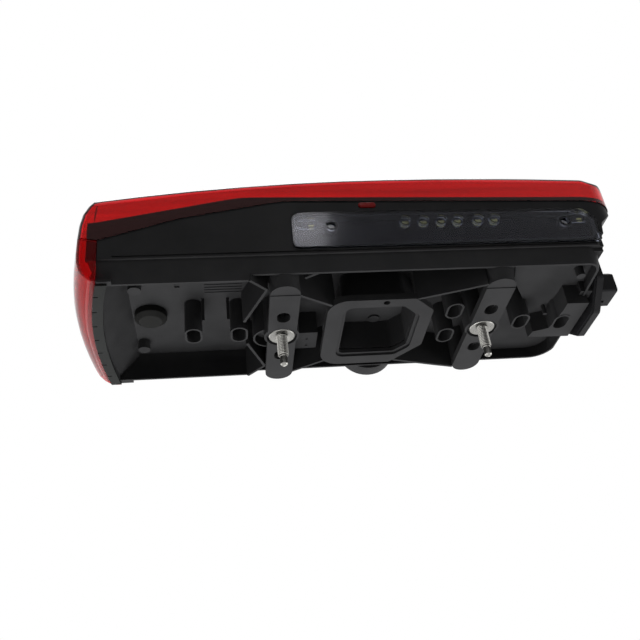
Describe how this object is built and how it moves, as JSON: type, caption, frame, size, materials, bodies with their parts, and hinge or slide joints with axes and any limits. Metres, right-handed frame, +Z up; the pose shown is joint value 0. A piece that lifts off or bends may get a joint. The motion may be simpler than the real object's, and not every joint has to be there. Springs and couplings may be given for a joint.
{
  "type": "tail light cluster",
  "caption": "Long rear lamp with a wrap-round red lens, a number plate window, two mounting studs, an eight-sided cup and a plug socket.",
  "frame": {"origin": "midway between the two studs, in the plane of the mounting pads", "axes": "+Y along the studs towards the vehicle, +X inboard along the lamp, +Z up"},
  "size_m": [0.405, 0.114, 0.1521],
  "materials": {
    "housing_black": "fine satin black moulding",
    "lens_red": "clear red acrylic",
    "lens_amber": "clear amber acrylic",
    "lens_clear": "clear acrylic",
    "seal_rubber": "black seal",
    "band_grey": "satin dark grey strip",
    "window_smoke": "smoked clear",
    "board_black": "black solder mask",
    "board_green": "green solder mask",
    "led_white": "pale yellow phosphor",
    "led_red": "red LED body",
    "led_amber": "amber LED body",
    "screw_steel": "zinc plated",
    "stud_zinc": "bright zinc plated",
    "vent_rubber": "dark breather plug",
    "plug_black": "satin black nylon",
    "pin_tin": "tinned",
    "reflector_silver": "metallised",
    "guide_clear": "clear acrylic",
    "reflex_red": "prismatic red",
    "wire_black": "black insulation"
  },
  "bodies": {
    "root": {"housing": "housing_black", "main_lens": "lens_red", "side_lens": "lens_red", "indicator_window": "lens_amber", "reverse_window": "lens_clear", "lens_seal": "seal_rubber", "end_band": "band_grey", "plate_window": "window_smoke", "plate_board": "board_black", "plate_leds": "led_white", "plate_screws": "screw_steel", "stud_left": "stud_zinc", "stud_right": "stud_zinc", "vent_cap": "vent_rubber", "connector_socket": "plug_black", "connector_seal": "seal_rubber", "contact_pins": "pin_tin", "reflector_carrier": "reflector_silver", "main_board": "board_green", "tail_leds": "led_red", "stop_leds": "led_red", "indicator_leds": "led_amber", "reverse_leds": "led_white", "fog_leds": "led_red", "light_guide": "guide_clear", "guide_leds": "led_red", "reflex_reflector": "reflex_red", "side_board": "board_green", "side_led": "led_amber", "inner_loom": "wire_black"}
  },
  "joints": []
}
